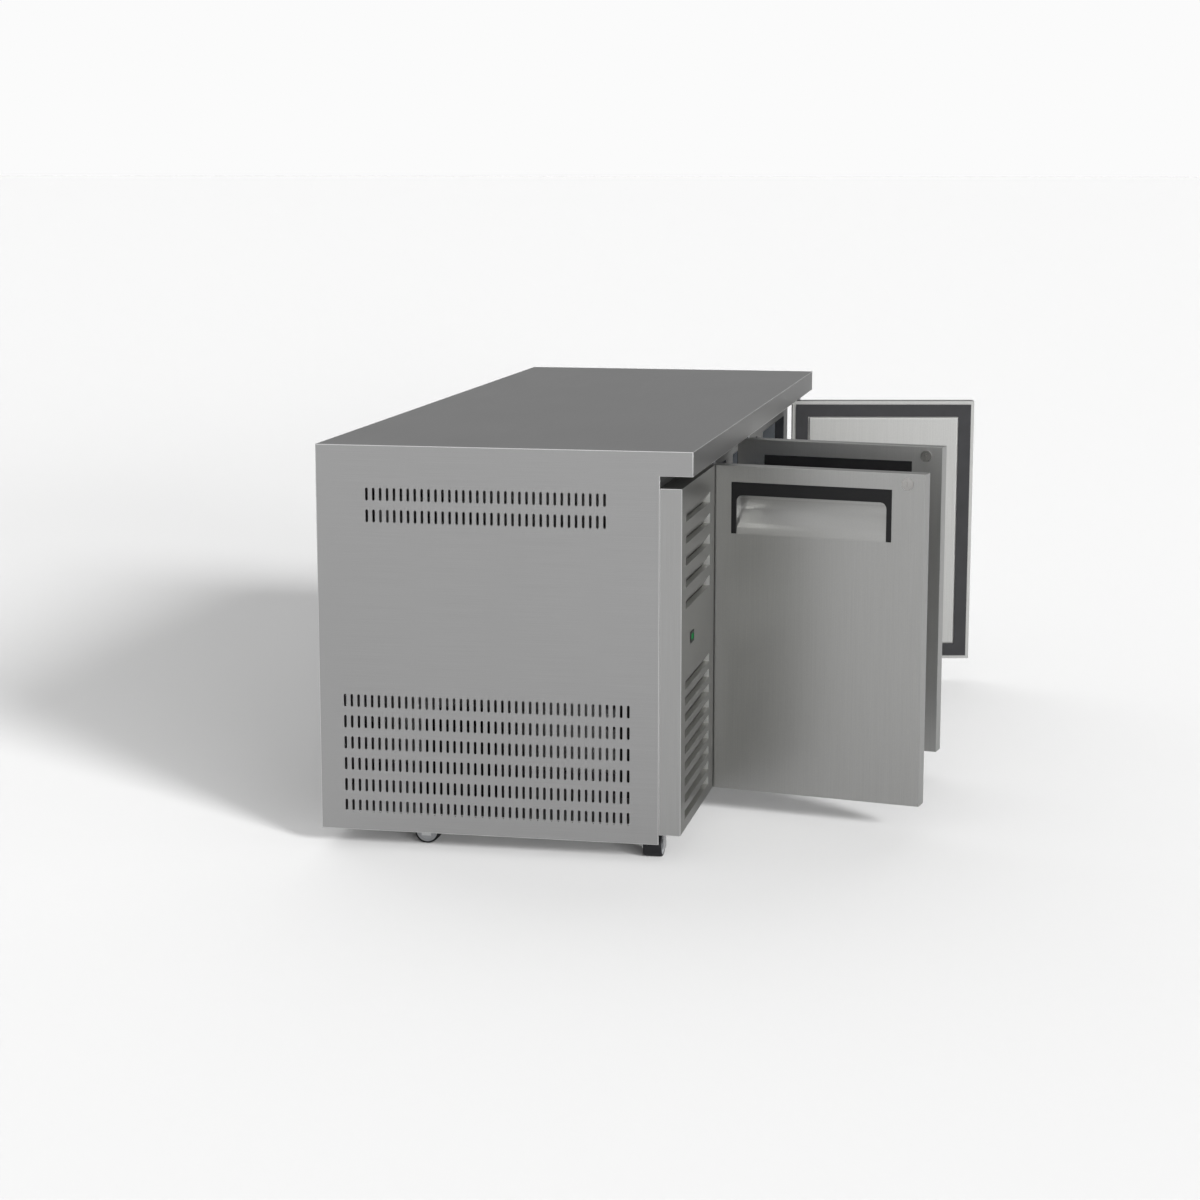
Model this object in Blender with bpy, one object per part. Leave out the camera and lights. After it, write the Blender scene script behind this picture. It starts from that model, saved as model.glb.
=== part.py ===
"""Three-door stainless undercounter refrigerator on castors, with its doors standing open.

Metres, +Z up. The origin is on the floor, under the centre of the cabinet. The front faces -Y.
"""
import math

import bmesh
import bpy
from mathutils import Matrix, Vector

# ---- Driving dimensions -------------------------------------------------------------------
LENGTH = 1.800
DEPTH = 0.700
HEIGHT = 0.757
SHEET = 0.0012            # stainless sheet
GAP = 0.0003              # between pieces that touch
EDGE = 0.0012             # rounding of the folded edges
LIP_HEIGHT = 0.045        # thickness of the worktop
LIP_DEPTH = 0.060         # how far the worktop stands out over the body
SKIRT_BOTTOM = 0.035      # lower edge of the side and rear panels

DOOR_WIDTH = 0.442
DOOR_THICKNESS = 0.034
DOOR_TOP = 0.6905
DOOR_BOTTOM = 0.0535
DOOR_REST_DEG = 101.0     # how far the doors stand open
DOOR_LEFTS = (-0.517, -0.0485, 0.420)
DOOR_HINGE_SIDES = (1, 1, -1)     # 1 is hinged on its left edge, -1 on its right

PIN_INSET = 0.012         # hinge pin, in from the hinge edge
PIN_DEPTH = 0.0115        # hinge pin, behind the outer face
PIN_RADIUS = 0.004
PIN_LENGTH = 0.014
BRACKET_HALF_WIDTH = 0.011
BRACKET_THICKNESS = 0.003

GASKET_INSET = 0.0086
GASKET_WIDTH = 0.0296
GASKET_HEIGHT = 0.0055
OPENING_INSET = 0.032     # hole in the front frame, in from the door's edges
BREAKER_WALL = SHEET + GAP
BREAKER_DEPTH = 0.021

HANDLE_WIDTH = 0.318
HANDLE_DROP = 0.0318      # top of the handle trim, below the door's top
HANDLE_HEIGHT = 0.0995
HANDLE_BAR = 0.0248
HANDLE_LEG = 0.0098
HANDLE_CORNER = 0.012
SCOOP_DEPTH = 0.024

LOCK_FROM_EDGE = 0.034
LOCK_DROP = 0.0195
LOCK_RADIUS = 0.009
LOCK_FLANGE = 0.0115

GRILLE_WIDTH = 0.377
LOUVRE_LEFT = 0.046       # from the cabinet's left end
LOUVRE_RIGHT = 0.321
LOUVRE_SLIT = 0.0015      # air slit at the deepest edge of a louvre
UPPER_LOUVRES = (5, 0.1116, 0.0400, 0.0200, 0.0135)    # count, first top below worktop, pitch, height, depth
LOWER_LOUVRES = (9, 0.4240, 0.0304, 0.0160, 0.0120)

CONTROL_FROM_END = 0.100
CONTROL_WIDTH = 0.034
CONTROL_HEIGHT = 0.021
CONTROL_DROP = 0.3640     # lower edge of the controller, below the worktop's top
CONTROL_RIM = 0.004

SLOT_HEIGHT = 0.024
SLOT_UPPER_TOPS = (0.078, 0.118)                       # below the worktop's top
SLOT_UPPER_SPAN = (0.158, 0.602)                       # behind the worktop's front edge
SLOT_LOWER_COUNT = 6
SLOT_LOWER_TOP = 0.464
SLOT_LOWER_PITCH = 0.0400
SLOT_LOWER_SPAN = (0.1135, 0.648)

REAR_SLOT_COUNT = 6
REAR_SLOT_FIRST = 0.300
REAR_SLOT_PITCH = 0.055
REAR_SLOT_HEIGHT = 0.022
INLET_CENTRE = (-0.615, 0.160)                         # x and z of the power inlet in the rear panel
INLET_SIZE = (0.0344, 0.0244)
INLET_PLAY = 0.0003

SHELF_BOTTOM = 0.376
SHELF_THICKNESS = 0.004
SHELF_FRONT = -0.234
SHELF_RIM = 0.008
SHELF_BAR = 0.005
SHELF_GAPS = 9
LEDGE_HEIGHT = 0.008
LEDGE_WIDTH = 0.012

CONDENSER = ((-0.860, -0.268, 0.110), (-0.600, -0.236, 0.370))
CONDENSER_FAN_RADIUS = 0.095
SHROUD_DEPTH = 0.026
SHROUD_HOLE = 0.105
MOTOR_RADIUS = 0.030
MOTOR_LENGTH = 0.050
COMPRESSOR_CENTRE = (-0.720, 0.130)
COMPRESSOR_FOOT = 0.080
COMPRESSOR_RADIUS = 0.070
COMPRESSOR_TOP = 0.228
COVER_DEPTH = 0.0617
COVER_SPAN = ((-0.060, 0.420), (0.240, 0.640))         # lower and upper corner in y and z
COIL_DEPTH = 0.030
EVAPORATOR_FAN_RADIUS = 0.070
EVAPORATOR_HOLE = 0.078

WHEEL_RADIUS = 0.024
WHEEL_HALF_WIDTH = 0.0175
TRAIL = 0.019
CROWN_TOP = 0.052
CASTOR_PLATE = 0.0025     # thickness of the plates that a castor is pressed from
KING_PIN_RADIUS = 0.005
AXLE_RADIUS = 0.0035
BASE_BOTTOM = 0.070

# ---- Derived places -----------------------------------------------------------------------
LEFT = -LENGTH / 2
RIGHT = LENGTH / 2
FRONT = -DEPTH / 2
BACK = DEPTH / 2
WORKTOP_BOTTOM = HEIGHT - LIP_HEIGHT
UNDER_TOP = WORKTOP_BOTTOM - GAP
BODY_FRONT = FRONT + LIP_DEPTH
DOOR_FACE = FRONT + 0.0195
DOOR_BACK = DOOR_FACE + DOOR_THICKNESS
FRAME_BACK = BODY_FRONT + SHEET
INNER_LEFT = LEFT + SHEET + GAP
INNER_RIGHT = RIGHT - SHEET - GAP
INNER_BACK = BACK - SHEET - GAP
BASE_TOP = BASE_BOTTOM + 0.002
GRILLE_RIGHT = LEFT + GRILLE_WIDTH
OPENING_BOTTOM = 0.101
OPENING_TOP = 0.654
PARTITION_X = GRILLE_RIGHT - 0.0005
BREAKER_BACK = BODY_FRONT + BREAKER_DEPTH
LINER_FRONT = BREAKER_BACK + GAP
LINER_BACK = 0.280
FLOOR_IN = OPENING_BOTTOM + BREAKER_WALL
CEILING_IN = OPENING_TOP - BREAKER_WALL
LINER_LEFT = DOOR_LEFTS[0] + OPENING_INSET + BREAKER_WALL
LINER_RIGHT = DOOR_LEFTS[2] + DOOR_WIDTH - OPENING_INSET - BREAKER_WALL
PIN_Y = DOOR_FACE + PIN_DEPTH
HANDLE_CENTRE = DOOR_WIDTH / 2 - PIN_INSET - 0.0022    # from the pin; a little off the door's middle
LEDGE_TOP = SHELF_BOTTOM - GAP
LEDGE_BOTTOM = LEDGE_TOP - LEDGE_HEIGHT
COVER_LEFT = LINER_LEFT + GAP
CONTROL_LEFT = LEFT + CONTROL_FROM_END
CONTROL_LOW = HEIGHT - CONTROL_DROP

CABINET_CASTORS = (       # name, pivot x, pivot y, direction in which the wheel trails, in degrees
    ("castor_1", -0.8275, -0.2725, 180.0),
    ("castor_2", 0.7950, -0.2725, 180.0),
    ("castor_3", -0.8275, 0.181, -90.0),
    ("castor_4", 0.7950, 0.181, -90.0),
)


# ---- Tools --------------------------------------------------------------------------------
def clear_scene():
    for thing in list(bpy.data.objects):
        bpy.data.objects.remove(thing, do_unlink=True)


def material(name, colour, roughness, metallic):
    made = bpy.data.materials.new(name)
    made.use_nodes = True
    shader = made.node_tree.nodes["Principled BSDF"]
    shader.inputs["Base Color"].default_value = (*colour, 1.0)
    shader.inputs["Roughness"].default_value = roughness
    shader.inputs["Metallic"].default_value = metallic
    made.diffuse_color = (*colour, 1.0)
    return made


def finish(name, mesh_data, finish_material=None):
    """Turns a bmesh into an object with outward normals."""
    bmesh.ops.recalc_face_normals(mesh_data, faces=mesh_data.faces)
    mesh = bpy.data.meshes.new(name)
    mesh_data.to_mesh(mesh)
    mesh_data.free()
    made = bpy.data.objects.new(name, mesh)
    bpy.context.scene.collection.objects.link(made)
    if finish_material:
        mesh.materials.append(finish_material)
    return made


def box(name, low, high, finish_material=None, bevel=0.0, segments=2):
    """A block between two corners, with every edge rounded when bevel isn't zero."""
    shape = bmesh.new()
    bmesh.ops.create_cube(shape, size=1.0)
    size = Vector(high) - Vector(low)
    centre = (Vector(high) + Vector(low)) / 2
    placed = Matrix.Translation(centre) @ Matrix.Diagonal((*size, 1.0))
    bmesh.ops.transform(shape, matrix=placed, verts=shape.verts)
    if bevel:
        bmesh.ops.bevel(shape, geom=list(shape.edges), offset=bevel, segments=segments, profile=0.5,
                        affect="EDGES")
    return finish(name, shape, finish_material)


def prism(name, outline, axis, low, high, finish_material=None):
    """An outline extruded along an axis. Its points are the other two axes' values, in X, Y, Z order."""
    shape = bmesh.new()

    def point(values, along):
        spot = list(values)
        spot.insert("XYZ".index(axis), along)
        return spot

    start = [shape.verts.new(point(values, low)) for values in outline]
    end = [shape.verts.new(point(values, high)) for values in outline]
    shape.faces.new(start)
    shape.faces.new(end)
    for index in range(len(outline)):
        after = (index + 1) % len(outline)
        shape.faces.new((start[index], start[after], end[after], end[index]))
    return finish(name, shape, finish_material)


def circle(centre, radius, segments):
    """Outline of a regular polygon."""
    turns = [2 * math.pi * (index + 0.5) / segments for index in range(segments)]
    return [(centre[0] + radius * math.cos(turn), centre[1] + radius * math.sin(turn)) for turn in turns]


def cylinder(name, centre, radius, axis, low, high, finish_material=None, segments=24):
    return prism(name, circle(centre, radius, segments), axis, low, high, finish_material)


def boolean(target, tools, operation):
    """Cuts or joins the tools, one after another, and removes them."""
    for tool in tools:
        modifier = target.modifiers.new("shape", "BOOLEAN")
        modifier.object = tool
        modifier.operation = operation
        modifier.solver = "EXACT"
        bpy.context.view_layer.update()
        result = target.evaluated_get(bpy.context.evaluated_depsgraph_get())
        old = target.data
        target.data = bpy.data.meshes.new_from_object(result)
        target.modifiers.clear()
        target.data.name = target.name
        bpy.data.meshes.remove(old)
        bpy.data.objects.remove(tool, do_unlink=True)
    return target


def cut(target, *tools):
    return boolean(target, tools, "DIFFERENCE")


def join(target, *tools):
    return boolean(target, tools, "UNION")


def empty(name, location, turn_deg=0.0):
    made = bpy.data.objects.new(name, None)
    made.empty_display_size = 0.03
    made.location = location
    made.rotation_euler = (0.0, 0.0, math.radians(turn_deg))
    bpy.context.scene.collection.objects.link(made)
    return made


def hang(holder, *pieces):
    """Parents pieces that were modelled around their holder's own origin."""
    for piece in pieces:
        piece.parent = holder


# ---- Cabinet ------------------------------------------------------------------------------
def worktop(steel):
    return box("worktop", (INNER_LEFT, FRONT, WORKTOP_BOTTOM), (INNER_RIGHT, BACK, HEIGHT), steel, EDGE)


def side_outline():
    """L-shaped end of the cabinet: the body, and the worktop's lip in front of it."""
    return [(BODY_FRONT, SKIRT_BOTTOM), (BACK, SKIRT_BOTTOM), (BACK, HEIGHT), (FRONT, HEIGHT),
            (FRONT, WORKTOP_BOTTOM), (BODY_FRONT, WORKTOP_BOTTOM)]


def vent_row(drop, span):
    """One row of vent slots, as a single window from front to back."""
    top = HEIGHT - drop
    return box("window", (LEFT - 0.01, FRONT + span[0], top - SLOT_HEIGHT),
               (LEFT + 0.01, FRONT + span[1], top))


def side_panels(steel):
    left = prism("side_panel_left", side_outline(), "X", LEFT, LEFT + SHEET, steel)
    rows = [vent_row(drop, SLOT_UPPER_SPAN) for drop in SLOT_UPPER_TOPS]
    for index in range(SLOT_LOWER_COUNT):
        rows.append(vent_row(SLOT_LOWER_TOP + index * SLOT_LOWER_PITCH, SLOT_LOWER_SPAN))
    cut(left, *rows)
    prism("side_panel_right", side_outline(), "X", RIGHT - SHEET, RIGHT, steel)


def rear_panel(steel):
    panel = box("rear_panel", (INNER_LEFT, BACK - SHEET, SKIRT_BOTTOM), (INNER_RIGHT, BACK, UNDER_TOP), steel)
    margin = 0.050
    for index in range(REAR_SLOT_COUNT):
        low = REAR_SLOT_FIRST + index * REAR_SLOT_PITCH
        cut(panel, box("window", (LEFT + margin, BACK - 0.01, low),
                       (GRILLE_RIGHT - margin, BACK + 0.01, low + REAR_SLOT_HEIGHT)))
    low, high = inlet_corners(INLET_PLAY)
    cut(panel, box("window", (low[0], BACK - 0.01, low[1]), (high[0], BACK + 0.01, high[1])))


def inlet_corners(grow):
    """Lower and upper corner of the power inlet in x and z, made larger by grow."""
    half = (INLET_SIZE[0] / 2 + grow, INLET_SIZE[1] / 2 + grow)
    return ((INLET_CENTRE[0] - half[0], INLET_CENTRE[1] - half[1]),
            (INLET_CENTRE[0] + half[0], INLET_CENTRE[1] + half[1]))


def base_and_partition(steel):
    box("base_panel", (INNER_LEFT, FRAME_BACK + GAP, BASE_BOTTOM), (INNER_RIGHT, INNER_BACK, BASE_TOP), steel)
    box("machine_partition", (PARTITION_X, FRAME_BACK + GAP, BASE_TOP + GAP),
        (PARTITION_X + SHEET, INNER_BACK, UNDER_TOP - GAP), steel)


def insulation(foam):
    shell = box("insulation", (PARTITION_X + SHEET + GAP, FRAME_BACK + GAP, BASE_TOP + GAP),
                (INNER_RIGHT, INNER_BACK, UNDER_TOP - GAP), foam)
    wall = SHEET + GAP
    cut(shell, box("cavity", (LINER_LEFT - wall, FRONT, FLOOR_IN - wall),
                   (LINER_RIGHT + wall, LINER_BACK + wall, CEILING_IN + wall)))


def inner_liner(steel):
    """Open-fronted inner box, with the ledges that the shelves lie on."""
    liner = box("inner_liner", (LINER_LEFT - SHEET, LINER_FRONT, FLOOR_IN - SHEET),
                (LINER_RIGHT + SHEET, LINER_BACK + SHEET, CEILING_IN + SHEET), steel)
    cut(liner, box("hollow", (LINER_LEFT, FRONT, FLOOR_IN), (LINER_RIGHT, LINER_BACK, CEILING_IN)))
    lap = SHEET / 2
    join(liner,
         box("rear_ledge", (LINER_LEFT - lap, LINER_BACK - 0.014, LEDGE_BOTTOM),
             (LINER_RIGHT + lap, LINER_BACK + lap, LEDGE_TOP)),
         box("left_ledge", (LINER_LEFT - lap, SHELF_FRONT - 0.001, LEDGE_BOTTOM),
             (LINER_LEFT + LEDGE_WIDTH, SHELF_FRONT + 0.029, LEDGE_TOP)),
         box("right_ledge", (LINER_RIGHT - LEDGE_WIDTH, SHELF_FRONT - 0.001, LEDGE_BOTTOM),
             (LINER_RIGHT + lap, SHELF_FRONT + 0.029, LEDGE_TOP)))


def mullion_sides(index):
    """Left and right face of the post between two door openings."""
    left = DOOR_LEFTS[index] + DOOR_WIDTH - OPENING_INSET
    right = DOOR_LEFTS[index + 1] + OPENING_INSET
    return left, right


def front_frame(steel):
    """Face of the body, with the hole behind the grille, the three door openings and their posts."""
    frame = box("front_frame", (INNER_LEFT, BODY_FRONT, DOOR_BOTTOM), (INNER_RIGHT, FRAME_BACK, UNDER_TOP),
                steel)
    holes = [box("hole", (LEFT + 0.030, FRONT, 0.100), (GRILLE_RIGHT - 0.025, 0.0, 0.680))]
    for left in DOOR_LEFTS:
        holes.append(box("hole", (left + OPENING_INSET, FRONT, OPENING_BOTTOM),
                         (left + DOOR_WIDTH - OPENING_INSET, 0.0, OPENING_TOP)))
    cut(frame, *holes)
    for index in range(2):
        left, right = mullion_sides(index)
        centre = (left + right) / 2
        post_back = BODY_FRONT + 0.045
        join(frame,
             box("post", (left, BODY_FRONT + SHEET / 2, FLOOR_IN + GAP),
                 (right, post_back, CEILING_IN - GAP)),
             box("ledge", (centre - 0.030, post_back - 0.001, LEDGE_BOTTOM),
                 (centre + 0.030, post_back + 0.030, LEDGE_TOP)))


def breaker_strips(plastic):
    for number, left in enumerate(DOOR_LEFTS, 1):
        low_x = left + OPENING_INSET + GAP
        high_x = left + DOOR_WIDTH - OPENING_INSET - GAP
        low_z = OPENING_BOTTOM + GAP
        high_z = OPENING_TOP - GAP
        wall = BREAKER_WALL - GAP
        strip = box("breaker_strip_%d" % number, (low_x, BODY_FRONT, low_z), (high_x, BREAKER_BACK, high_z),
                    plastic)
        cut(strip, box("hollow", (low_x + wall, FRONT, low_z + wall), (high_x - wall, 0.0, high_z - wall)))


def shelves(wire):
    clear = 0.0035        # from a shelf's end to the middle of the post
    edges = [LINER_LEFT + 0.003]
    for index in range(2):
        middle = sum(mullion_sides(index)) / 2
        edges += [middle - clear, middle + clear]
    edges.append(LINER_RIGHT - 0.003)
    back = LINER_BACK - 0.004
    for bay in range(3):
        left, right = edges[2 * bay], edges[2 * bay + 1]
        shelf = box("shelf_%d" % (bay + 1), (left, SHELF_FRONT, SHELF_BOTTOM),
                    (right, back, SHELF_BOTTOM + SHELF_THICKNESS), wire)
        pitch = (right - left - 2 * SHELF_RIM + SHELF_BAR) / SHELF_GAPS
        for index in range(SHELF_GAPS):
            start = left + SHELF_RIM + index * pitch
            cut(shelf, box("gap", (start, SHELF_FRONT + SHELF_RIM, 0.0),
                           (start + pitch - SHELF_BAR, back - SHELF_RIM, HEIGHT)))


# ---- Machine end --------------------------------------------------------------------------
def louvre_tools(rows, face):
    """Wedges and air slits of the pressed louvres: each is flush at its top and deepest at its bottom."""
    count, first, pitch, height, depth = rows
    left, right = LEFT + LOUVRE_LEFT, LEFT + LOUVRE_RIGHT
    outer, inner = [], []
    clear = 0.002
    for index in range(count):
        top = HEIGHT - first - index * pitch
        bottom = top - height
        back = face + depth
        outer.append(prism("wedge", [(face + SHEET / 2, top + SHEET), (back + SHEET, bottom),
                                     (back + SHEET, bottom - SHEET), (face + SHEET / 2, bottom - SHEET)],
                           "X", left - SHEET, right + SHEET))
        inner.append(prism("scoop", [(face - clear, top + clear * height / depth), (back, bottom),
                                     (face - clear, bottom)], "X", left, right))
        inner.append(box("slit", (left + SHEET, back - LOUVRE_SLIT, bottom - 0.004),
                         (right - SHEET, back, bottom + 0.0005)))
    return outer, inner


def grille_panel(steel):
    low = (LEFT, DOOR_FACE, DOOR_BOTTOM)
    high = (GRILLE_RIGHT, BODY_FRONT - GAP, DOOR_TOP)
    panel = box("grille_panel", low, high, steel, bevel=0.0010)
    cut(panel, box("hollow", tuple(value + SHEET for value in low), (high[0] - SHEET, 0.0, high[2] - SHEET)))
    for rows in (UPPER_LOUVRES, LOWER_LOUVRES):
        outer, inner = louvre_tools(rows, DOOR_FACE)
        join(panel, *outer)
        cut(panel, *inner)
    lap = 0.001           # how far the controller's rim covers the edge of its hole
    right, top = CONTROL_LEFT + CONTROL_WIDTH, CONTROL_LOW + CONTROL_HEIGHT
    cut(panel, box("hole", (CONTROL_LEFT + lap, FRONT, CONTROL_LOW + lap),
                   (right - lap, DOOR_FACE + 0.005, top - lap)))


def controller(black, lens):
    left, right = CONTROL_LEFT, CONTROL_LEFT + CONTROL_WIDTH
    low, high = CONTROL_LOW, CONTROL_LOW + CONTROL_HEIGHT
    case = 0.0015
    rim = CONTROL_RIM
    bezel = box("controller_bezel", (left, DOOR_FACE - 0.0013, low), (right, DOOR_FACE - GAP, high), black)
    join(bezel, box("case", (left + case, DOOR_FACE - 0.001, low + case),
                    (right - case, DOOR_BACK - 0.004, high - case)))
    cut(bezel, box("window", (left + rim, FRONT, low + rim + 0.001),
                   (right - rim, DOOR_FACE + 0.0012, high - rim - 0.001)))
    rim += GAP
    box("controller_display", (left + rim, DOOR_FACE - 0.0010, low + rim + 0.001),
        (right - rim, DOOR_FACE + 0.0009, high - rim - 0.001), lens)


def fan(name, centre, axis, radius, hub, depth, plastic):
    """Hub with five pitched blades, turned about the axis through its centre."""
    wheel = cylinder(name, (0.0, 0.0), hub, "Z", -depth / 2, depth / 2, plastic, 20)
    for index in range(5):
        blade = box("blade", (hub - 0.004, -radius * 0.28, -0.0009), (radius, radius * 0.28, 0.0009))
        blade.data.transform(Matrix.Rotation(math.radians(72 * index), 4, "Z")
                             @ Matrix.Rotation(math.radians(24), 4, "X"))
        join(wheel, blade)
    turns = {"X": Matrix.Rotation(math.radians(90), 4, "Y"), "Y": Matrix.Rotation(math.radians(-90), 4, "X")}
    wheel.data.transform(turns[axis])
    wheel.location = centre
    return wheel


def machine(steel, black, aluminium, plastic):
    low, high = CONDENSER
    centre = ((low[0] + high[0]) / 2, (low[2] + high[2]) / 2)
    shroud_back = high[1] + SHROUD_DEPTH
    box("condenser", low, high, aluminium)
    shroud = box("fan_shroud", (low[0], high[1] + GAP, low[2]), (high[0], shroud_back, high[2]), black)
    cut(shroud, cylinder("hole", centre, SHROUD_HOLE, "Y", 0.0, FRONT, segments=32))
    fan("condenser_fan", (centre[0], high[1] + SHROUD_DEPTH / 2 + 0.0002, centre[1]), "Y",
        CONDENSER_FAN_RADIUS, 0.026, 0.012, plastic)
    front = shroud_back + GAP
    motor = box("fan_motor", (low[0], front, centre[1] - 0.010), (high[0], front + 0.003, centre[1] + 0.010),
                steel)
    join(motor, cylinder("can", centre, MOTOR_RADIUS, "Y", front + 0.001, front + MOTOR_LENGTH, segments=20))

    x, y = COMPRESSOR_CENTRE
    foot = box("compressor", (x - COMPRESSOR_FOOT, y - COMPRESSOR_FOOT, BASE_TOP + GAP),
               (x + COMPRESSOR_FOOT, y + COMPRESSOR_FOOT, BASE_TOP + 0.010), black)
    shoulder = COMPRESSOR_TOP - 0.018
    join(foot,
         cylinder("can", (x, y), COMPRESSOR_RADIUS, "Z", BASE_TOP + 0.008, shoulder, segments=28),
         cylinder("dome", (x, y), COMPRESSOR_RADIUS - 0.018, "Z", shoulder - 0.005, COMPRESSOR_TOP,
                  segments=28))

    low, high = inlet_corners(0.0)
    wall = 0.005
    inlet = box("power_inlet", (low[0], BACK - 0.035, low[1]), (high[0], BACK, high[1]), black)
    cut(inlet, box("socket", (low[0] + wall, BACK - 0.018, low[1] + wall - 0.001),
                   (high[0] - wall, BACK + 0.01, high[1] - wall + 0.001)))


def evaporator(steel, aluminium, plastic):
    (front, bottom), (back, top) = COVER_SPAN
    right = LINER_LEFT + COVER_DEPTH + GAP
    centre = ((front + back) / 2, (bottom + top) / 2)
    cover = box("evaporator_cover", (COVER_LEFT, front, bottom), (right, back, top), steel)
    cut(cover,
        box("hollow", (COVER_LEFT - 0.01, front + SHEET, bottom + SHEET),
            (right - SHEET, back - SHEET, top - SHEET)),
        cylinder("hole", centre, EVAPORATOR_HOLE, "X", LINER_LEFT, LINER_RIGHT, segments=32))
    clear = 0.010
    coil_left = COVER_LEFT + 0.004
    box("evaporator_coil", (coil_left, front + clear, bottom + clear),
        (coil_left + COIL_DEPTH, back - clear, top - clear), aluminium)
    fan("evaporator_fan", (LINER_LEFT + 0.050, *centre), "X", EVAPORATOR_FAN_RADIUS, 0.020, 0.010, plastic)


# ---- Doors --------------------------------------------------------------------------------
def door_box(name, side, low, high, finish_material=None, bevel=0.0):
    """A block in a door's own axes: x from the pin to the free edge, y from the pin inwards."""
    span = sorted((side * low[0], side * high[0]))
    return box(name, (span[0], low[1], low[2]), (span[1], high[1], high[2]), finish_material, bevel)


def handle_outline(side, grow):
    """Inverted U with round inner corners, in the door's x and z, made larger by grow."""
    centre = HANDLE_CENTRE
    outer = HANDLE_WIDTH / 2 + grow
    inner = HANDLE_WIDTH / 2 - HANDLE_LEG - grow
    top = DOOR_TOP - HANDLE_DROP + grow
    bottom = DOOR_TOP - HANDLE_DROP - HANDLE_HEIGHT - grow
    under = DOOR_TOP - HANDLE_DROP - HANDLE_BAR - grow
    points = [(-outer, bottom), (-outer, top), (outer, top), (outer, bottom), (inner, bottom)]
    steps = 4
    turns = [math.radians(90) * index / steps for index in range(steps + 1)]
    corner = [(HANDLE_CORNER * (1 - math.cos(turn)), HANDLE_CORNER * (1 - math.sin(turn))) for turn in turns]
    points += [(inner - across, under - down) for across, down in corner]
    points += [(across - inner, under - down) for across, down in reversed(corner)]
    points.append((-inner, bottom))
    return [(side * (centre + x), z) for x, z in points]


def scoop_outline():
    """Finger recess in y and z: deep behind the bar, curving out flush at its bottom."""
    face = -PIN_DEPTH
    top = DOOR_TOP - HANDLE_DROP - 0.003
    bottom = DOOR_TOP - HANDLE_DROP - HANDLE_HEIGHT
    straight = 0.030
    points = [(face - 0.002, bottom), (face - 0.002, top), (face + SCOOP_DEPTH, top),
              (face + SCOOP_DEPTH, top - straight)]
    steps = 6
    for index in range(1, steps + 1):
        part = index / steps
        ease = (1 + math.cos(math.pi * part)) / 2
        points.append((face + SCOOP_DEPTH * ease, top - straight + (bottom - top + straight) * part))
    return points


def door(number, steel, inner_steel, rubber, black, chrome):
    side = DOOR_HINGE_SIDES[number - 1]
    left = DOOR_LEFTS[number - 1]
    pin_x = left + PIN_INSET if side > 0 else left + DOOR_WIDTH - PIN_INSET
    near, far = -PIN_INSET, DOOR_WIDTH - PIN_INSET
    face, back = -PIN_DEPTH, DOOR_THICKNESS - PIN_DEPTH
    name = "door_%d" % number

    body = door_box(name + "_body", side, (near, face, DOOR_BOTTOM), (far, back - 0.001, DOOR_TOP), steel, EDGE)
    centre = side * HANDLE_CENTRE
    half = HANDLE_WIDTH / 2 - HANDLE_LEG + 0.003
    lock_x = side * (far - LOCK_FROM_EDGE)
    lock_z = DOOR_TOP - LOCK_DROP
    bore = PIN_RADIUS + 0.00012
    lock_bore = LOCK_RADIUS + 0.0001
    pin_hole = PIN_LENGTH + 0.001
    cut(body,
        prism("scoop", scoop_outline(), "X", centre - half, centre + half),
        prism("pocket", handle_outline(side, GAP), "Y", face - 0.002, face + 0.0033),
        cylinder("lock_bore", (lock_x, lock_z), lock_bore, "Y", face - 0.002, face + 0.0275, segments=32),
        cylinder("top_bore", (0.0, 0.0), bore, "Z", DOOR_TOP - pin_hole, DOOR_TOP + 0.002, segments=16),
        cylinder("low_bore", (0.0, 0.0), bore, "Z", DOOR_BOTTOM - 0.002, DOOR_BOTTOM + pin_hole, segments=16))

    pan = GASKET_INSET + GASKET_WIDTH + 0.0023
    inner = door_box(name + "_inner_panel", side, (near + 0.0005, back - 0.0007, DOOR_BOTTOM + 0.0005),
                     (far - 0.0005, back, DOOR_TOP - 0.0005), inner_steel)
    join(inner, door_box("pan", side, (near + pan, back - 0.0005, DOOR_BOTTOM + pan),
                         (far - pan, back + GASKET_HEIGHT, DOOR_TOP - pan), None, 0.0020))

    edge = GASKET_INSET
    gasket = door_box(name + "_gasket", side, (near + edge, back + GAP, DOOR_BOTTOM + edge),
                      (far - edge, back + GASKET_HEIGHT, DOOR_TOP - edge), rubber)
    edge += GASKET_WIDTH
    cut(gasket, door_box("hollow", side, (near + edge, back - 0.01, DOOR_BOTTOM + edge),
                         (far - edge, back + 0.02, DOOR_TOP - edge)))

    trim = prism(name + "_handle", handle_outline(side, 0.0), "Y", face - 0.001, face + 0.003, black)

    lock = cylinder(name + "_lock", (lock_x, lock_z), LOCK_FLANGE, "Y", face - 0.0025, face - GAP, chrome, 32)
    join(lock, cylinder("barrel", (lock_x, lock_z), LOCK_RADIUS, "Y", face - 0.001, face + 0.026,
                        segments=32))
    cut(lock, box("keyway", (lock_x - 0.0009, face - 0.01, lock_z - 0.0045),
                  (lock_x + 0.0009, face - 0.0005, lock_z + 0.0045)))

    hinge = empty(name + "_hinge", (pin_x, PIN_Y, 0.0), -side * DOOR_REST_DEG)
    hang(hinge, body, inner, gasket, trim, lock)
    brackets(number, pin_x, steel)


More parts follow.
